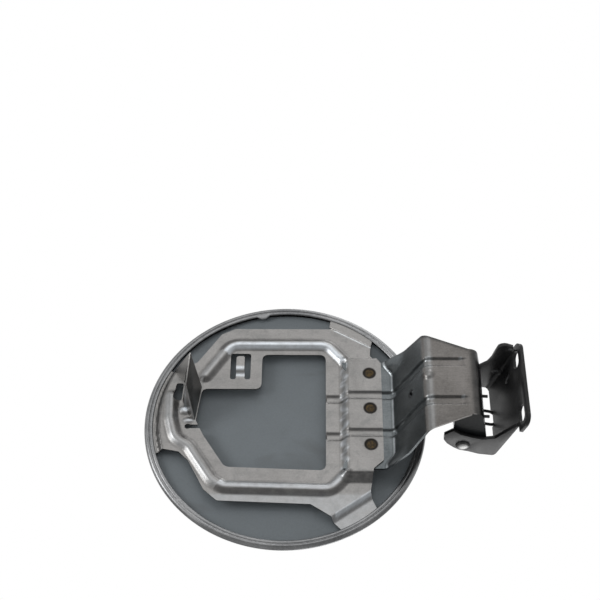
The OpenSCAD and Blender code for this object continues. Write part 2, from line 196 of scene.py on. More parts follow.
def spun(name, profile, steps):
    """A closed body of revolution about z from (radius, height) points."""
    edges = [(i, i + 1) for i in range(len(profile) - 1)]
    obj = mesh_object(name, [(r, 0, h) for r, h in profile], edges, [])
    bpy.ops.object.mode_set(mode="EDIT")
    bpy.ops.mesh.select_all(action="SELECT")
    bpy.ops.mesh.spin(steps=steps, angle=2 * math.pi, center=(0, 0, 0), axis=(0, 0, 1))
    bpy.ops.object.mode_set(mode="OBJECT")
    clean(obj, 0.002)
    return obj


rim = []
for degrees in range(0, 171, 10):
    a = math.radians(degrees)
    rim.append((door_r - rim_r + rim_r * math.sin(a), hem_top / 2 - hem_top / 2 * math.cos(a)))
skin_profile = [(0, 0), (10, 0), (25, 0), (40, 0), (55, 0), (68, 0), (75, 0)] + rim + [
    (77.3, 3.95), (77.1, 3.72), (76.9, 3.72), (76.7, 3.92), (76.4, 3.98), (75.7, 3.95), (75.3, 3.8),
    (75.05, 3.5), (75.1, 3.15), (75.5, 2.9), (76.4, 2.7), (77.4, 2.2), (77.6, 1.6), (77.0, 1.05),
    (75.5, skin_t), (68, skin_t), (55, skin_t), (40, skin_t), (25, skin_t), (10, skin_t), (0, skin_t)
]
skin = spun("door_skin", skin_profile, 180)
# the small nub on the hem's inner edge, near the top
nub_turn, nub_half = 101.5, 2.1
for v in skin.data.vertices:
    r = math.hypot(v.co.x, v.co.y)
    turn = math.degrees(math.atan2(v.co.y, v.co.x))
    if 74.9 < r < 76.2 and v.co.z > 3 and abs(turn - nub_turn) < nub_half:
        v.co.x *= 0.974
        v.co.y *= 0.974
        v.co.z -= 0.15


def node_material(name):
    """A new material with its node tree and its shader."""
    material = bpy.data.materials.new(name)
    material.use_nodes = True
    tree = material.node_tree
    return material, tree, tree.nodes["Principled BSDF"]


def new_group(name, numbers, outputs):
    """A shader node group with number inputs and the named outputs."""
    group = bpy.data.node_groups.new(name, "ShaderNodeTree")
    for label, value in numbers.items():
        socket = group.interface.new_socket(label, in_out="INPUT", socket_type="NodeSocketFloat")
        socket.default_value = value
    for label, kind in outputs.items():
        group.interface.new_socket(label, in_out="OUTPUT", socket_type=kind)
    return group, group.nodes.new("NodeGroupInput"), group.nodes.new("NodeGroupOutput")


def math_node(tree, operation, a, b):
    node = tree.nodes.new("ShaderNodeMath")
    node.operation = operation
    for i, value in enumerate((a, b)):
        if isinstance(value, (int, float)):
            node.inputs[i].default_value = value
        else:
            tree.links.new(value, node.inputs[i])
    return node.outputs[0]


def noise_node(tree, where, scale, detail, rough=0.5, warp=0.0):
    node = tree.nodes.new("ShaderNodeTexNoise")
    tree.links.new(where, node.inputs["Vector"])
    node.inputs["Scale"].default_value = scale
    node.inputs["Detail"].default_value = detail
    node.inputs["Roughness"].default_value = rough
    node.inputs["Distortion"].default_value = warp
    return node.outputs["Fac"]


def stretch_node(tree, scale=(1, 1, 1), turn=(0, 0, 0)):
    """Object coordinates, turned and stretched."""
    where = tree.nodes.new("ShaderNodeTexCoord")
    mapping = tree.nodes.new("ShaderNodeMapping")
    mapping.inputs["Rotation"].default_value = turn
    mapping.inputs["Scale"].default_value = scale
    tree.links.new(where.outputs["Object"], mapping.inputs["Vector"])
    return mapping.outputs["Vector"]


def levels_node(tree, value, low, high, to_low=0.0, to_high=1.0):
    node = tree.nodes.new("ShaderNodeMapRange")
    node.inputs["From Min"].default_value = low
    node.inputs["From Max"].default_value = high
    node.inputs["To Min"].default_value = to_low
    node.inputs["To Max"].default_value = to_high
    tree.links.new(value, node.inputs["Value"])
    return node.outputs["Result"]


# fine rolling lines, cloudy tone and small specks of steel sheet
sheet_group, group_in, group_out = new_group(
    "rolled sheet",
    {"Lines": 0.3, "Clouds": 0.5, "Specks": 0.3},
    {"Tone": "NodeSocketFloat", "Height": "NodeSocketFloat", "Dull": "NodeSocketFloat"},
)
rolling = noise_node(sheet_group, stretch_node(sheet_group, (1, 1, 14), (0, 0, door_open)), 260, 4, 0.6)
clouds = noise_node(sheet_group, stretch_node(sheet_group), 42, 5, 0.55, 0.6)
specks = noise_node(sheet_group, stretch_node(sheet_group), 950, 3, 0.7)
parts = []
for pattern, label in ((rolling, "Lines"), (clouds, "Clouds"), (specks, "Specks")):
    swing = math_node(sheet_group, "SUBTRACT", pattern, 0.5)
    parts.append(math_node(sheet_group, "MULTIPLY", swing, group_in.outputs[label]))
rolling_part, cloud_part, speck_part = parts
tone = math_node(sheet_group, "ADD", math_node(sheet_group, "ADD", rolling_part, cloud_part), speck_part)
sheet_group.links.new(math_node(sheet_group, "ADD", tone, 0.5), group_out.inputs["Tone"])
sheet_group.links.new(math_node(sheet_group, "ADD", rolling_part, speck_part), group_out.inputs["Height"])
sheet_group.links.new(clouds, group_out.inputs["Dull"])


def place_group(tree, group, **values):
    node = tree.nodes.new("ShaderNodeGroup")
    node.node_tree = group
    for label, value in values.items():
        node.inputs[label].default_value = value
    return node


def tone_ramp(tree, value, dark, light):
    """A dark tone where the value is low and a light one where it is high."""
    node = tree.nodes.new("ShaderNodeValToRGB")
    node.color_ramp.elements[0].position = 0.3
    node.color_ramp.elements[0].color = (*dark, 1)
    node.color_ramp.elements[1].position = 0.7
    node.color_ramp.elements[1].color = (*light, 1)
    tree.links.new(value, node.inputs[0])
    return node.outputs[0]


def mix_node(tree, factor, a, b):
    """Blends from colour a to colour b."""
    node = tree.nodes.new("ShaderNodeMix")
    node.data_type = "RGBA"
    for label, kind, value in (("Factor", "VALUE", factor), ("A", "RGBA", a), ("B", "RGBA", b)):
        socket = next(i for i in node.inputs if i.name == label and i.type == kind)
        if isinstance(value, tuple):
            socket.default_value = (*value, 1)
        else:
            tree.links.new(value, socket)
    return next(o for o in node.outputs if o.type == "RGBA")


def bump_node(tree, value, strength, distance):
    node = tree.nodes.new("ShaderNodeBump")
    node.inputs["Strength"].default_value = strength
    node.inputs["Distance"].default_value = distance
    tree.links.new(value, node.inputs["Height"])
    return node.outputs[0]


def sheet_surface(tree, shader, sheet, smooth, dull, relief, depth):
    """Cloudy dullness between two roughness values, and the sheet's fine relief."""
    roughness = levels_node(tree, sheet.outputs["Dull"], 0.2, 0.8, smooth, dull)
    tree.links.new(roughness, shader.inputs["Roughness"])
    tree.links.new(bump_node(tree, sheet.outputs["Height"], relief, depth), shader.inputs["Normal"])


# bare skin outside: brushed, with cloudy stains and a few light scratches
bare_steel, tree, shader = node_material("bare brushed steel")
shader.inputs["Metallic"].default_value = 1.0
sheet = place_group(tree, sheet_group, Lines=0.5, Clouds=0.9, Specks=0.35)
base = tone_ramp(tree, sheet.outputs["Tone"], (0.16, 0.166, 0.17), (0.25, 0.255, 0.26))
spots = levels_node(tree, noise_node(tree, stretch_node(tree), 75, 6, 0.65, 1.2), 0.56, 0.66)
patches = levels_node(tree, noise_node(tree, stretch_node(tree), 16, 2), 0.48, 0.6)
stain = math_node(tree, "MULTIPLY", math_node(tree, "MULTIPLY", spots, patches), 0.35)
stained = mix_node(tree, stain, base, (0.11, 0.114, 0.117))
scratch_where = stretch_node(tree, (1, 1, 0.05), (0.3, 0.2, door_open + 0.4))
scratch = levels_node(tree, noise_node(tree, scratch_where, 420, 1, 0.3), 0.71, 0.74)
scratch = math_node(tree, "MULTIPLY", math_node(tree, "MULTIPLY", scratch, patches), 0.3)
scratched = mix_node(tree, scratch, stained, (0.42, 0.42, 0.42))
tree.links.new(scratched, shader.inputs["Base Color"])
sheet_surface(tree, shader, sheet, 0.3, 0.48, 0.25, 0.0003)

# primer on the inside of the skin
primer, tree, shader = node_material("blue-grey primer")
shader.inputs["Roughness"].default_value = 0.62
sheet = place_group(tree, sheet_group, Lines=0.08, Clouds=0.35, Specks=0.4)
primed = tone_ramp(tree, sheet.outputs["Tone"], (0.13, 0.149, 0.16), (0.168, 0.191, 0.206))
smudge = noise_node(tree, stretch_node(tree, (1, 1, 1.6)), 34, 3, 0.5, 0.4)
smudge = levels_node(tree, smudge, 0.56, 0.72, 0.0, 0.4)
primed = mix_node(tree, smudge, primed, (0.085, 0.09, 0.093))
tree.links.new(primed, shader.inputs["Base Color"])
tree.links.new(bump_node(tree, sheet.outputs["Height"], 0.2, 0.0002), shader.inputs["Normal"])

# folded hem: dull, cloudy steel
hem_steel, tree, shader = node_material("folded hem steel")
shader.inputs["Metallic"].default_value = 1.0
sheet = place_group(tree, sheet_group, Lines=0.1, Clouds=0.8, Specks=0.5)
hem_tone = tone_ramp(tree, sheet.outputs["Tone"], (0.12, 0.123, 0.126), (0.25, 0.252, 0.255))
tree.links.new(hem_tone, shader.inputs["Base Color"])
sheet_surface(tree, shader, sheet, 0.25, 0.45, 0.2, 0.0003)

for material in (bare_steel, primer, hem_steel):
    skin.data.materials.append(material)
for face in skin.data.polygons:
    centre = face.center
    r = math.hypot(centre.x, centre.y)
    if face.normal.z > 0 and r < 76 and centre.z < 1.2:
        face.material_index = 1
    elif r > 75 and centre.z > 0.5:
        face.material_index = 2
settle(skin, door_place)
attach(skin, "door")
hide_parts("outer_panel")

# Inner panel: the stamped ring that stiffens the skin and carries the hinge arm.
# Galvanised steel sheet: a flat blank is pressed with a bead, a platform and grooves, then trimmed.
# Its tabs are caught under the hem of the skin.
ring_top = 6.5
platform_rise = 5.0
bead_rise, bead_half = 2.2, 4.7
groove_at = (12.4, -12.4)
groove_start, groove_depth = 22.5, 1.0
weld_at = [(48.2, 3.6 + step * 23.7) for step in (-1, 0, 1)]
# where the upper and the lower tab fold down to the hem
high_fold = ((27, 61.7), (49.2, 48.8))
low_fold = ((26, -62), (47.4, -47))


def rounded_loop(points, radius, steps, closed=True):
    """Points with their corners rounded, in a closed loop or an open chain."""
    loop = []
    count = len(points)
    for i in range(count):
        before, here, after = (Vector(points[(i + j) % count]) for j in (-1, 0, 1))
        if not closed and i in (0, count - 1):
            loop.append(here)
            continue
        to_before, to_after = (before - here).normalized(), (after - here).normalized()
        half = to_before.angle(to_after) / 2
        reach = min(radius / math.tan(half), 0.45 * (before - here).length, 0.45 * (after - here).length)
        start, end = here + reach * to_before, here + reach * to_after
        for j in range(steps + 1):
            t = j / steps
            loop.append((1 - t) ** 2 * start + 2 * t * (1 - t) * here + t * t * end)
    return loop


bead_top = [(33, 39.5), (24, 50.3), (-32.3, 50.3), (-46.5, 28)]
bead_low = [
    (-65.3, 14), (-64.8, -1), (-61.5, -13.5), (-53.4, -19), (-39.7, -40.4), (-33.3, -44.4), (26.1, -46),
    (33, -38)
]
bead_lines = [rounded_loop(line, 9, 4, closed=False) for line in (bead_top, bead_low)]


def ease(t):
    """A soft step from 0 to 1."""
    t = min(1.0, max(0.0, t))
    return t * t * (3 - 2 * t)


def to_line(x, y, line):
    """Distance from a point to a chain of straight pieces, and the nearest place on it."""
    best = (1e9, 0, 0)
    for (ax, ay), (bx, by) in zip(line, line[1:]):
        dx, dy = bx - ax, by - ay
        t = min(1.0, max(0.0, ((x - ax) * dx + (y - ay) * dy) / (dx * dx + dy * dy)))
        at = (ax + t * dx, ay + t * dy)
        best = min(best, (math.hypot(x - at[0], y - at[1]), *at))
    return best


def past_fold(x, y, fold):
    """How far above a fold line a point lies, negative under it."""
    (ax, ay), (bx, by) = fold
    return ((x - ax) * (ay - by) + (y - ay) * (bx - ax)) / math.hypot(bx - ax, by - ay)


def ring_height(x, y):
    """Height of the pressed ring's top at a place, x towards the hinge."""
    h = ring_top
    near = min(to_line(x, y, line)[0] for line in bead_lines)
    h += bead_rise * ease((bead_half - near) / 4.0)
    rise = ease((x - 30.5) / 6.0) * ease((41.5 - abs(y)) / 4.5)
    h += platform_rise * rise
    for at in groove_at:
        h -= groove_depth * ease((3.0 - abs(y - at)) / 1.6) * ease((x - groove_start) / 1.5)
    for wx, wy in weld_at:
        d = math.hypot(x - wx, y - wy)
        h -= 0.35 * ease((4.0 - d) / 1.2) - 0.15 * ease((2.2 - d) / 1.5)
    # the raised folds beside the striker's toe
    h += 1.1 * ease(1.6 - math.hypot((x + 56.5) / 3.2, (y - 4.6) / 2.2))
    h += 0.8 * ease(1.5 - math.hypot((x + 54.5) / 2.6, (y + 2.2) / 1.5))
    # the tongue is bent up at its root
    if -29.4 < x < -23.6 and 26 < y < 44:
        h += 1.6 * ease((y - 29) / 4)
    # the tabs drop to the hem
    low = max(
        ease(past_fold(x, y, high_fold) / 3.0),
        ease(-past_fold(x, y, low_fold) / 3.0),
        ease((math.hypot(x, y) - 71.0) / 2.8) if x < -60 else 0.0,
    )
    return h - (ring_top - hem_top + skin_t) * low


def prism(name, loop, low, high):
    """An upright closed prism over a loop of points."""
    obj = mesh_object(name, [(p[0], p[1], low) for p in loop], [], [list(range(len(loop)))])
    bpy.ops.object.mode_set(mode="EDIT")
    bpy.ops.mesh.select_all(action="SELECT")
    bpy.ops.mesh.extrude_region_move(TRANSFORM_OT_translate={"value": (0, 0, high - low)})
    bpy.ops.object.mode_set(mode="OBJECT")
    clean(obj, 0.0001)
    return obj


def cut(obj, tool, operation="DIFFERENCE"):
    apply_modifier(obj, "cut", "BOOLEAN", object=tool, operation=operation, solver="EXACT")
    bpy.data.objects.remove(tool)


bpy.ops.object.select_all(action="DESELECT")
blank_w, blank_h, blank_x, pitch = 140, 152, -11, 0.8
bpy.ops.mesh.primitive_grid_add(
    x_subdivisions=int(blank_w / pitch), y_subdivisions=int(blank_h / pitch), size=1, location=(0, 0, 0)
)
ring = bpy.context.object
ring.name = "stamped_ring"
for v in ring.data.vertices:
    x, y = blank_x + blank_w * v.co.x, blank_h * v.co.y
    v.co = (x, y, ring_height(x, y))
apply_modifier(ring, "sheet thickness", "SOLIDIFY", thickness=skin_t, offset=-1.0)
outline = [
    (27, 62), (25.5, 66), (26.5, 72.7), (33, 70), (40, 66.3), (46, 62.2), (50.5, 58.6), (51, 56.5),
    (49.8, 52), (49, 43), (55, 34), (55, -30), (49.4, -35), (47.5, -46.7), (48.8, -51), (51, -56),
    (50.7, -58.5), (46, -62.2), (40, -66.3), (34, -69.5), (31, -68), (27, -64), (26, -62), (14.7, -54.7),
    (-36.2, -52.8), (-43.8, -46), (-53.3, -28), (-58.9, -22.3), (-68, -20.6), (-74.2, -22),
    (-76.2, -13.5), (-77.3, -4.5), (-77.3, 4.5), (-76.1, 14), (-73.4, 24.5), (-69.3, 34.5), (-64, 32),
    (-51.9, 37.7), (-43.7, 50), (-38.4, 58), (-30.6, 62)
]
under, over = -2, 20
cut(ring, prism("trim line", rounded_loop(outline, 2.5, 4), under, over), "INTERSECT")
opening = [
    (23.2, 43.4), (-14, 43.4), (-14, 19.4), (-48, 19.4), (-50.6, -2), (-45.8, -11.7), (-33.5, -31),
    (-31, -32), (23.2, -34)
]
cut(ring, prism("opening", rounded_loop(opening, 4, 6), under, over))
# the slit under the striker, the window round the tongue and the window behind the striker
small_holes = [
    [
        (-44, -4.8), (-53.5, -4.8), (-55, -4.3), (-56.6, -5), (-56.6, -7), (-55, -7.7), (-53.5, -7.2),
        (-44, -7.2)
    ],
    [(-24, 26), (-20.6, 26), (-20.6, 44), (-32.4, 44), (-32.4, 26), (-29, 26), (-29, 41.2), (-24, 41.2)],
    [(-63, 23), (-58.8, 23), (-59.4, 11), (-64.5, 11.6)],
]
punches = [prism("punch", rounded_loop(hole, 1.5, 4), under, over) for hole in small_holes]
only(punches[0])
for punch in punches[1:]:
    punch.select_set(True)
bpy.ops.object.join()
cut(ring, punches[0])


def sheet_plate(name, corners, thickness):
    """A flat plate of sheet metal through its corner points."""
    obj = mesh_object(name, corners, [], [list(range(len(corners)))])
    apply_modifier(obj, "sheet thickness", "SOLIDIFY", thickness=thickness, offset=0.0)
    clean(obj, 0.0001)
    return obj


# the striker is three flat faces folded up from the ring
peak, ridge, toe = (-53.8, 27.5, 31), (-56, 12, 21.5), (-51.4, -2, 6.3)
striker_faces = [
    sheet_plate("striker face", [peak, (-48.6, 20.5, 6.0), toe, ridge], skin_t),
    sheet_plate("striker back", [peak, (-64.6, 32, 6.0), (-58.5, 24, 6.0)], skin_t),
    sheet_plate("striker heel", [ridge, toe, (-56.5, 4, 6.1), (-58.6, 11, 6.1)], skin_t),
]
striker = striker_faces[0]
for face in striker_faces[1:]:
    cut(striker, face, "UNION")
cut(ring, striker, "UNION")
clean(ring, 0.0005)


def drop_corners(obj):
    """Dissolves the corners that join only two edges, which the cuts leave along the sheet's edges."""
    uses = [0] * len(obj.data.vertices)
    for edge in obj.data.edges:
        for i in edge.vertices:
            uses[i] += 1
    only(obj)
    bpy.ops.object.mode_set(mode="EDIT")
    bpy.ops.mesh.select_mode(type="VERT")
    bpy.ops.mesh.select_all(action="DESELECT")
    bpy.ops.object.mode_set(mode="OBJECT")
    for v in obj.data.vertices:
        v.select = uses[v.index] == 2
    bpy.ops.object.mode_set(mode="EDIT")
    bpy.ops.mesh.dissolve_verts()
    bpy.ops.object.mode_set(mode="OBJECT")


drop_corners(ring)


def mark(obj, name, level):
    """Keeps a mask from 0 to 1 at each vertex: painted highlight, painted shade, wear or a tone split."""
    layer = obj.data.attributes.new(name=name, type="FLOAT", domain="POINT")
    for v in obj.data.vertices:
        layer.data[v.index].value = min(1.0, max(0.0, level(v.co)))


def bead_offset(co):
    """Distance from the nearest bead's crest, positive towards the opening, and whether it runs aslant."""
    near, nx, ny = min(to_line(co.x, co.y, line) for line in bead_lines)
    inner = (co.x - nx) * (0 - nx) + (co.y - ny) * (5 - ny) > 0
    aslant = nx < -36
    return (near if inner != aslant else -near), aslant


def ring_painted_highlights(co):
    """Painted highlights on the ring."""
    offset, aslant = bead_offset(co)
    # painted highlight on each bead's inner slope, weaker on the aslant part and on the lower side
    strength = 0.2 if aslant else 1.0 if co.y > 0 else 0.5
    crest = ease((offset + 1.4) / 1.2) * ease((3.9 - offset) / 1.6) * strength
    # painted highlight on the riser, uneven as if hammered
    uneven = 0.5 + 0.5 * math.sin(1.7 * co.y + 2.2 * math.sin(0.55 * co.y))
    at = 33.6 + 0.9 * math.sin(0.8 * co.y)
    riser = ease(1.5 - abs(co.x - at) / 1.4) * ease((38 - abs(co.y)) / 3) * (0.2 + 0.6 * uneven)
    # painted highlights along the folds of the two tabs at the hinge side
    fold = 0.0
    if co.x > 28 and co.y < -40:
        fold = 0.85 * ease(1.8 - abs(past_fold(co.x, co.y, low_fold) + 0.6) / 0.9)
    elif co.x > 28 and co.y > 40:
        fold = 0.5 * ease(1.8 - abs(past_fold(co.x, co.y, high_fold) - 0.6) / 0.7)
    # painted highlights on the raised folds beside the striker's toe
    toe = 0.9 * ease(1.3 - math.hypot((co.x + 56) / 4.5, (co.y - 4.8) / 2.0))
    toe += 0.8 * ease(1.2 - math.hypot((co.x + 54.5) / 3.5, (co.y + 2.2) / 1.4))
    # painted highlights on the two bends of the tongue
    bends = 0.0
    if -29.2 < co.x < -23.8:
        bends = 0.9 * (ease(1.6 - abs(co.y - 29.2)) + ease(1.8 - abs(co.y - 33)))
    # painted light: the lower side is a little brighter all over
    low_side = 0.24 * ease((-47.5 - co.y) / 2.5)
    return max(crest, riser, fold, toe, bends, low_side)


def ring_painted_shade(co):
    """Painted shade on the ring."""
    offset = bead_offset(co)[0]
    # painted shade on the beads' outer slopes, the grooves' walls and the lower riser
    slope = ease((-1.0 - offset) / 1.2) * ease((offset + 5.2) / 1.2) * 0.8
    walls = 0.0
    for at in groove_at:
        side = 0.8 if co.y > at else 0.45
        wall = ease(1.5 - abs(abs(co.y - at) - 2.2)) * ease((co.x - groove_start) / 1.5)
        walls = max(walls, side * wall)
    low_riser = ease((-36.6 - co.y) / 1.0) * ease((co.y + 42.6) / 1.0) * ease((co.x - 32) / 3)
    # painted shade along the fold that drops beside the hem at the latch side
    latch_fold = 0.95 * ease(1.5 - abs(math.hypot(co.x, co.y) - 71.7) / 1.0) if co.x < -60 else 0.0
    return max(slope, walls, low_riser, latch_fold)


mark(ring, "highlight_and_rubbing", ring_painted_highlights)
mark(ring, "shade_and_dark_paint", ring_painted_shade)

# painted highlights and painted shade where the marks say so, and on the pin its rubbed middle and dark
# rim, broken up like rubbed zinc
light_and_wear_group, group_in, group_out = new_group(
    "painted light and rubbing", {"Bright": 0.8, "Dark": 0.8}, {"Bright": "NodeSocketFloat", "Dark": "NodeSocketFloat"}
)
broken = noise_node(light_and_wear_group, stretch_node(light_and_wear_group), 230, 4, 0.6)
broken = levels_node(light_and_wear_group, broken, 0.3, 0.6, 0.6, 1.0)
for label, name in (("Bright", "highlight_and_rubbing"), ("Dark", "shade_and_dark_paint")):
    kept = light_and_wear_group.nodes.new("ShaderNodeAttribute")
    kept.attribute_name = name
    amount = math_node(light_and_wear_group, "MULTIPLY", kept.outputs["Fac"], broken)
    amount = math_node(light_and_wear_group, "MULTIPLY", amount, group_in.outputs[label])
    light_and_wear_group.links.new(amount, group_out.inputs[label])

# galvanised sheet: warm grey, cloudy, with a faint spangle, painted highlights and painted shade
zinc_sheet, tree, shader = node_material("galvanised sheet")
shader.inputs["Metallic"].default_value = 1.0
sheet = place_group(tree, sheet_group, Lines=0.25, Clouds=0.8, Specks=0.35)
zinc_base = tone_ramp(tree, sheet.outputs["Tone"], (0.152, 0.149, 0.145), (0.252, 0.246, 0.24))
mottle = noise_node(tree, stretch_node(tree), 130, 5, 0.7, 0.5)
mottle = levels_node(tree, mottle, 0.5, 0.68, 0.0, 0.45)
zinc_base = mix_node(tree, mottle, zinc_base, (0.115, 0.12, 0.118))
# painted highlights go light and painted shade goes dark, where the marks say so
light_and_wear = place_group(tree, light_and_wear_group, Bright=0.95, Dark=0.8)
zinc_base = mix_node(tree, light_and_wear.outputs["Bright"], zinc_base, (0.5, 0.53, 0.56))
zinc_base = mix_node(tree, light_and_wear.outputs["Dark"], zinc_base, (0.065, 0.064, 0.064))
sheet_surface(tree, shader, sheet, 0.3, 0.46, 0.3, 0.0003)


def distance_node(tree, spot):
    """How far a place on the piece is from a fixed spot, in metres."""
    where = tree.nodes.new("ShaderNodeTexCoord")
    gap = tree.nodes.new("ShaderNodeVectorMath")
    gap.operation = "DISTANCE"
    tree.links.new(where.outputs["Object"], gap.inputs[0])
    gap.inputs[1].default_value = spot
    return gap.outputs["Value"]


# each spot weld is a dark burnt ring round a mottled brown middle
burnt = noise_node(tree, stretch_node(tree), 620, 3, 0.6, 0.5)
burnt = levels_node(tree, burnt, 0.42, 0.6, 0.25, 0.95)
for wx, wy in weld_at:
    distance = distance_node(tree, door_place @ Vector((wx, wy, ring_top + platform_rise)))
    edge = levels_node(tree, distance, 0.0035, 0.0042, 0.95, 0.0)
    core = levels_node(tree, distance, 0.0021, 0.0028, 1.0, 0.0)
    zinc_base = mix_node(tree, edge, zinc_base, (0.009, 0.0075, 0.006))
    zinc_base = mix_node(tree, math_node(tree, "MULTIPLY", core, burnt), zinc_base, (0.06, 0.042, 0.02))
tree.links.new(zinc_base, shader.inputs["Base Color"])
ring.data.materials.append(zinc_sheet)
settle(ring, door_place)
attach(ring, "door")
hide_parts("inner_panel")

# Hinge arm: the gooseneck that joins the door to its pin.
# One pressed strip of dull galvanised sheet with two grooves; its end curls back to two knuckles.
# The strip is laid along its bent path, pressed, then pierced.
arm_t = 1.3
neck_slope = math.radians(65)
curl_r, low_r = 5.5, 9.0
curl_x, end_x = -3.5, -12.6
knuckle_r = 4.35
foot_x, foot_y, top_y = 36.3, -5.9, 28.5
foot_half, end_half = 35.0, 21.0
hole_y, hole_z, hole_r = 13.0, 1.3, 2.0


def bend(path, cx, cy, r, a0, a1, steps):
    """Adds an arc about (cx, cy), from one angle to the other in degrees."""
    for i in range(steps + 1):
        a = math.radians(a0 + (a1 - a0) * i / steps)
        path.append((cx + r * math.cos(a), cy + r * math.sin(a)))


slope_deg = math.degrees(neck_slope)
foot_r, neck_r = 3.0, 5.0
foot_c = (foot_x + foot_r * math.sin(neck_slope), foot_y + foot_r)
low = (foot_c[0] - foot_r * math.sin(neck_slope), foot_c[1] - foot_r * math.cos(neck_slope))
high_y = top_y - neck_r + neck_r * math.cos(neck_slope)
high = (low[0] - (high_y - low[1]) / math.tan(neck_slope), high_y)
neck_c = (high[0] - neck_r * math.sin(neck_slope), high[1] - neck_r * math.cos(neck_slope))
path = [(61.0, foot_y)]
bend(path, *foot_c, foot_r, 270, 270 - slope_deg, 8)
bend(path, *neck_c, neck_r, 90 - slope_deg, 90, 10)
# the curl's wall leans so that it touches both of its bends
curl_c = Vector((curl_x, top_y - curl_r))
low_c = Vector((end_x + low_r, low_r - knuckle_r))
lean = low_c - curl_c
wall_deg = 360 + math.degrees(math.atan2(lean.y, lean.x) - math.acos((curl_r - low_r) / lean.length))
bend(path, *curl_c, curl_r, 90, wall_deg, 12)
bend(path, *low_c, low_r, wall_deg, 270, 18)
bend(path, 0, 0, knuckle_r, 270, 270 + 290, 32)

# even steps along the path, each with its point and the direction out of the sheet
steps = []
for (ax, ay), (bx, by) in zip(path, path[1:]):
    length = math.hypot(bx - ax, by - ay)
    if length < 1e-6:
        continue
    count = max(1, round(length / 0.9))
    steps += [(ax + (bx - ax) * i / count, ay + (by - ay) * i / count) for i in range(count)]
steps.append(path[-1])
outs = []
for i in range(len(steps)):
    ax, ay = steps[max(0, i - 1)]
    bx, by = steps[min(len(steps) - 1, i + 1)]
    length = math.hypot(bx - ax, by - ay)
    outs.append(((by - ay) / length, -(bx - ax) / length))


def half_width(x):
    """Half the strip's width: wide at the foot, narrow at the curl."""
    shape = ((foot_x, foot_half), (high[0], 31.25), (high[0] - 4, 29.75), (curl_x, end_half))
    for (x0, w0), (x1, w1) in zip(shape, shape[1:]):
        if x1 <= x <= x0:
            return w1 + (w0 - w1) * (x - x1) / (x0 - x1)
    return foot_half if x > foot_x else end_half


top_end = next(i for i, (x, y) in enumerate(steps) if x <= curl_x)
bpy.ops.object.select_all(action="DESELECT")
bpy.ops.mesh.primitive_grid_add(
    x_subdivisions=len(steps) - 1, y_subdivisions=88, size=1, location=(0, 0, 0)
)
arm = bpy.context.object
arm.name = "gooseneck_arm"
for v in arm.data.vertices:
    i = round((v.co.x + 0.5) * (len(steps) - 1))
    px, py = steps[i]
    turned_back = i > top_end
    z = 2 * v.co.y * (end_half if turned_back else half_width(px))
    depth = 0.0
    if not turned_back:
        fade = ease((px - curl_x - 1.5) / 4.0)
        for at in groove_at:
            depth += 1.05 * ease((3.1 - abs(z - at)) / 1.5) * fade
        # the foot of the riser curves back towards the door at the strip's edges
        px += 4.5 * ease((abs(z) - 25) / 9) * ease(1 - (py - foot_y) / 16) * ease((px - high[0]) / 8)
        # a small dimple pressed out at the top bend
        depth -= 0.9 * ease(1.5 - math.hypot((px - 19.5) / 2.4, (z - 4.3) / 2.4)) * (py > 20)
    nx, ny = outs[i]
    v.co = (px - nx * depth, py - ny * depth, z)
apply_modifier(arm, "sheet thickness", "SOLIDIFY", thickness=arm_t, offset=-1.0)


def box_tool(name, low_corner, high_corner):
    """A plain block used only to cut with."""
    bpy.ops.object.select_all(action="DESELECT")
    size = Vector(high_corner) - Vector(low_corner)
    centre = (Vector(high_corner) + Vector(low_corner)) / 2
    bpy.ops.mesh.primitive_cube_add(size=1, location=centre, scale=size)
    tool = bpy.context.object
    tool.name = name
    bpy.ops.object.transform_apply(location=True, rotation=True, scale=True)
    return tool


# the window for the spring between the knuckles, and the small hole in the riser
cut(arm, box_tool("spring window", (end_x - 5, -10, -9), (knuckle_r + 1, 8.5, 9)))
bpy.ops.object.select_all(action="DESELECT")
bpy.ops.mesh.primitive_cylinder_add(
    vertices=32, radius=hole_r, depth=20, location=(foot_x - 10, hole_y, hole_z),
    rotation=(0, math.pi / 2, math.pi / 2 - neck_slope)
)
cut(arm, bpy.context.object)

# side cheeks that close the curl
for at, free_x in ((-end_half, 6.5), (end_half - arm_t, -2.0)):
    cheek = [(free_x, top_y - 0.6), (free_x - 0.5, top_y / 2)]
    cheek += [(min(free_x, knuckle_r) - 1, knuckle_r - 1)]
    cheek += [(-2, knuckle_r - 1)] if free_x > 0 else []
    cheek += [(-6, 0.4 - knuckle_r), (end_x + 5, 0.6 - knuckle_r)]
    back = []
    bend(back, *low_c, low_r - 0.6, 235, wall_deg, 6)
    bend(back, *curl_c, curl_r - 0.6, wall_deg, 90, 8)
    plate = prism("cheek", cheek + back, at, at + arm_t)
    cut(arm, plate, "UNION")
clean(arm, 0.0005)


def groove_wall(co, spread):
    """How close a place on the neck is to a groove's walls, more at the upper ones."""
    best = 0.0
    for at in groove_at:
        side = 1.0 if co.z > at else 0.5
        best = max(best, side * ease((spread - abs(abs(co.z - at) - 2.3)) / spread))
    return best


def arm_painted_shade(co):
    """Painted shade on the arm: its groove walls, its upper edge, round its hole and inside its curl."""
    on_neck = ease((co.x - curl_x - 1.0) / 1.5)
    on_riser = ease((24 - co.y) / 3)
    rim = ease((co.z - half_width(co.x) + 2.2) / 1.4) if co.y > 20 and co.x > curl_x else 0.0
    curl = 0.9 * ease((curl_x + 1.5 - co.x) / 4.5) if co.y > 0 else 0.9
    from_hole = math.hypot((co.y - hole_y) * 1.1, co.z - hole_z)
    hole = 0.95 * ease((3.1 - from_hole) / 0.9) if co.x > 20 else 0.0
    walls = (0.9 + 0.5 * on_riser) * groove_wall(co, 0.9) * on_neck
    return max(hole, walls, 0.85 * rim, curl if on_neck < 0.5 else 0.0)


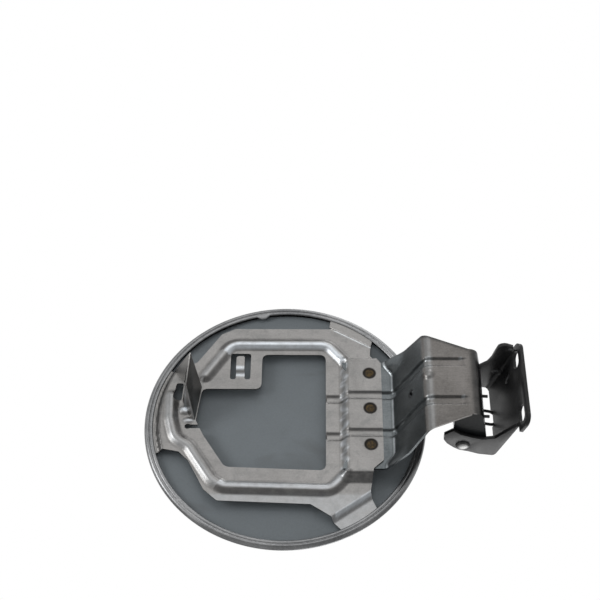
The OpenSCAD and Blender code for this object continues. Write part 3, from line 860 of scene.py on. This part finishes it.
def arm_painted_highlights(co):
    """Painted highlights on the arm: its foot, its top bend and the ends of its grooves."""
    foot = 0.65 * ease(1.4 - abs(co.y - foot_y - 1.0) / 0.6) * ease((co.x - foot_x + 4) / 2.0)
    top_bend, ends = 0.0, 0.0
    if co.y > 22:
        top_bend = ease(1.6 - abs(co.x - 19.0) / 1.6) * (0.22 + 0.78 * groove_wall(co, 1.8))
    if co.y > 20:
        for at in groove_at:
            ends = max(ends, 0.8 * ease(1.5 - math.hypot((co.x - 1.2) / 0.9, (co.z - at - 2.4) / 0.7)))
    return max(foot, top_bend, ends)


mark(arm, "highlight_and_rubbing", arm_painted_highlights)
mark(arm, "shade_and_dark_paint", arm_painted_shade)
mark(arm, "topside", lambda co: ease((co.y - 24) / 3.5))

# x out from the pin, y over the pin and z along the pin, in millimetres
arm_place = Matrix((
    (math.cos(door_open) * MM, math.sin(door_open) * MM, 0, pin_place.x * MM),
    (-math.sin(door_open) * MM, math.cos(door_open) * MM, 0, pin_place.y * MM),
    (0, 0, MM, 0),
    (0, 0, 0, 1),
))

dull_sheet, tree, shader = node_material("dull galvanised sheet")
shader.inputs["Metallic"].default_value = 1.0
sheet = place_group(tree, sheet_group, Lines=0.35, Clouds=0.9, Specks=0.4)
# the incline gets a darker blue-grey, a painted reflection of the primer; the top gets brown-grey
incline_reflection_blue_grey = tone_ramp(tree, sheet.outputs["Tone"], (0.062, 0.07, 0.074), (0.136, 0.147, 0.152))
brown_grey = tone_ramp(tree, sheet.outputs["Tone"], (0.073, 0.069, 0.065), (0.145, 0.137, 0.131))
topside = tree.nodes.new("ShaderNodeAttribute")
topside.attribute_name = "topside"
dull_base = mix_node(tree, topside.outputs["Fac"], incline_reflection_blue_grey, brown_grey)
# painted highlights go light and painted shade goes dark, where the marks say so
light_and_wear = place_group(tree, light_and_wear_group, Bright=0.8, Dark=0.85)
dull_base = mix_node(tree, light_and_wear.outputs["Bright"], dull_base, (0.45, 0.48, 0.5))
dull_base = mix_node(tree, light_and_wear.outputs["Dark"], dull_base, (0.028, 0.03, 0.031))
tree.links.new(dull_base, shader.inputs["Base Color"])
sheet_surface(tree, shader, sheet, 0.28, 0.42, 0.3, 0.0003)

# the knuckles and the curl's cheeks are near black: painted shade for the curl's dark hollow
shade_black_steel, tree, shader = node_material("black steel for the curl's shade")
shader.inputs["Specular IOR Level"].default_value = 0.03
sheet = place_group(tree, sheet_group, Lines=0.2, Clouds=0.9, Specks=0.5)
shade_black_tone = tone_ramp(tree, sheet.outputs["Tone"], (0.003, 0.0032, 0.0035), (0.013, 0.014, 0.015))
tree.links.new(shade_black_tone, shader.inputs["Base Color"])
sheet_surface(tree, shader, sheet, 0.3, 0.5, 0.25, 0.0003)
arm.data.materials.append(dull_sheet)
arm.data.materials.append(shade_black_steel)
for face in arm.data.polygons:
    centre = face.center
    flat_side = abs(face.normal.z) > 0.9 and abs(centre.z) > 19.5
    cheek_side = flat_side and centre.x < 6.6 and centre.y < 27.8
    knuckle = math.hypot(centre.x, centre.y) < knuckle_r + 0.1
    if cheek_side or knuckle:
        face.material_index = 1
settle(arm, arm_place)
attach(arm, "door")
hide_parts("hinge_arm")

# Hinge bracket: the black U that screws to the filler pocket and holds the pin.
# Folded from two-millimetre sheet and painted satin black; its cut edges are softened by the paint.
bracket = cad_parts["hinge_bracket"].copy()
bracket.data = bracket.data.copy()
bracket.name = "folded_bracket"
bracket.parent = None
scene.collection.objects.link(bracket)
clean(bracket, 0.000002)
apply_modifier(
    bracket, "soft edges", "BEVEL", width=0.00035, segments=2, limit_method="ANGLE",
    angle_limit=math.radians(40), use_clamp_overlap=True
)
satin_black, tree, shader = node_material("satin black paint")
sheet = place_group(tree, sheet_group, Lines=0.0, Clouds=0.6, Specks=0.6)
paint_tone = tone_ramp(tree, sheet.outputs["Tone"], (0.007, 0.007, 0.0075), (0.02, 0.02, 0.0205))
shader.inputs["Specular IOR Level"].default_value = 0.25
roughness = levels_node(tree, sheet.outputs["Dull"], 0.2, 0.8, 0.36, 0.52)
tree.links.new(roughness, shader.inputs["Roughness"])
# three small dimples pressed into the bends, with a painted highlight on their crowns
dimple_height, painted_crown_highlight = 0.0, 0.0
for spot in ((0.0059, 0.0028, 0.0215), (0.0043, -0.0189, 0.0215), (0.002, -0.012, 0.0125)):
    distance = distance_node(tree, spot)
    dimple = levels_node(tree, distance, 0.0008, 0.003, 1.0, 0.0)
    dimple_height = math_node(tree, "ADD", dimple, dimple_height)
    crown_highlight_spot = levels_node(tree, distance, 0.0006, 0.0016, 0.6, 0.0)
    painted_crown_highlight = math_node(tree, "ADD", crown_highlight_spot, painted_crown_highlight)
paint_tone = mix_node(tree, painted_crown_highlight, paint_tone, (0.16, 0.165, 0.17))
tree.links.new(paint_tone, shader.inputs["Base Color"])
grain = bump_node(tree, sheet.outputs["Height"], 0.35, 0.0003)
pressed = tree.nodes.new("ShaderNodeBump")
pressed.inputs["Strength"].default_value = 1.0
pressed.inputs["Distance"].default_value = 0.0009
tree.links.new(dimple_height, pressed.inputs["Height"])
tree.links.new(grain, pressed.inputs["Normal"])
tree.links.new(pressed.outputs[0], shader.inputs["Normal"])
bracket.data.materials.clear()
bracket.data.materials.append(satin_black)
settle(bracket, Matrix.Identity(4))
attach(bracket, "bracket")
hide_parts("hinge_bracket")

# Hinge pin: a bright zinc-plated rivet through both ears and both knuckles.
# A turned rod whose ends are peened over to low domes.
pin_r, head_r, ear_out = 3.0, 4.0, 23.5
under_head, dome_rise = ear_out + 0.05, 1.35
dome = []
for degrees in range(0, 90, 10):
    a = math.radians(degrees)
    dome.append((head_r * math.cos(a), under_head + dome_rise * math.sin(a)))
pin_profile = [(0, under_head + dome_rise)] + dome[::-1] + [(head_r, under_head), (pin_r, under_head)]
pin_profile += [(pin_r, h) for h in (18, 12, 9.2, 9, -9, -9.2, -12, -18)]
pin_profile += [(pin_r, -under_head), (head_r, -under_head)] + [(r, -h) for r, h in dome]
pin_profile += [(0, -under_head - dome_rise)]
pin = spun("peened_pin", pin_profile, 64)
# the domes are rubbed bright in the middle and dark round their edge
mark(pin, "highlight_and_rubbing", lambda co: (abs(co.z) > ear_out) * ease((2.2 - math.hypot(co.x, co.y)) / 0.6))
mark(pin, "shade_and_dark_paint", lambda co: (abs(co.z) > ear_out - 0.2) * ease((math.hypot(co.x, co.y) - 2.4) / 0.7))
zinc, tree, shader = node_material("bright zinc plating")
shader.inputs["Metallic"].default_value = 1.0
sheet = place_group(tree, sheet_group, Lines=0.1, Clouds=0.6, Specks=0.5)
light_and_wear = place_group(tree, light_and_wear_group, Bright=0.9, Dark=0.95)
zinc_tone = tone_ramp(tree, sheet.outputs["Tone"], (0.15, 0.15, 0.15), (0.28, 0.28, 0.275))
zinc_tone = mix_node(tree, light_and_wear.outputs["Bright"], zinc_tone, (0.27, 0.27, 0.265))
zinc_tone = mix_node(tree, light_and_wear.outputs["Dark"], zinc_tone, (0.03, 0.03, 0.03))
tree.links.new(zinc_tone, shader.inputs["Base Color"])
sheet_surface(tree, shader, sheet, 0.3, 0.46, 0.25, 0.0002)
pin.data.materials.append(zinc)
pin_home = Matrix.Translation((pin_place.x * MM, pin_place.y * MM, 0)) @ Matrix.Scale(MM, 4)
settle(pin, pin_home)
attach(pin, "bracket")
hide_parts("hinge_pin")

# Torsion spring: black wire wound round the pin between the knuckles.
# Two packs of coils are joined by a loop that hooks over the plate; the free ends press the arm.
wire_r, coil_r, coil_rise, loop_half = 0.9, 4.25, 0.9702, 4.3
loop_x, loop_y = -23.9, -3.4
half_wire = []
for i in range(9):
    a = math.radians(90 + 90 * i / 8)
    half_wire.append((loop_x + loop_half + loop_half * math.cos(a), loop_y, loop_half * math.sin(a)))
half_wire = half_wire[::-1]
half_wire += [(loop_x + loop_half + t * 19.6, loop_y - 0.85 * t, loop_half) for t in (0.3, 0.6, 0.85)]
turns, per_turn = 2.5, 20
for i in range(int(turns * per_turn) + 1):
    a = math.radians(-90 + 360 * i / per_turn)
    along = loop_half + max(0, i - 2) / per_turn * coil_rise
    half_wire.append((coil_r * math.cos(a), coil_r * math.sin(a), along))
last = half_wire[-1]
for t in (0.3, 0.6, 0.9, 1.0):
    half_wire.append((last[0] + (end_x - 1.5 - last[0]) * t, last[1] + (7.4 - last[1]) * t, last[2]))
whole = [(x, y, -z) for x, y, z in half_wire[::-1]] + half_wire[1:]
curve = bpy.data.curves.new("spring wire", "CURVE")
curve.dimensions = "3D"
curve.bevel_depth = wire_r
curve.bevel_resolution = 4
curve.use_fill_caps = True
spline = curve.splines.new("POLY")
spline.points.add(len(whole) - 1)
for point, place in zip(spline.points, whole):
    point.co = (*place, 1)
spring = bpy.data.objects.new("wound_spring", curve)
scene.collection.objects.link(spring)
only(spring)
bpy.ops.object.convert(target="MESH")
spring = bpy.context.object
black_wire, tree, shader = node_material("blackened wire")
sheet = place_group(tree, sheet_group, Lines=0.0, Clouds=0.5, Specks=0.5)
wire_tone = tone_ramp(tree, sheet.outputs["Tone"], (0.006, 0.006, 0.006), (0.02, 0.02, 0.021))
tree.links.new(wire_tone, shader.inputs["Base Color"])
sheet_surface(tree, shader, sheet, 0.25, 0.4, 0.2, 0.0002)
spring.data.materials.append(black_wire)
settle(spring, pin_home, 60)
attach(spring, "bracket")
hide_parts("torsion_spring")
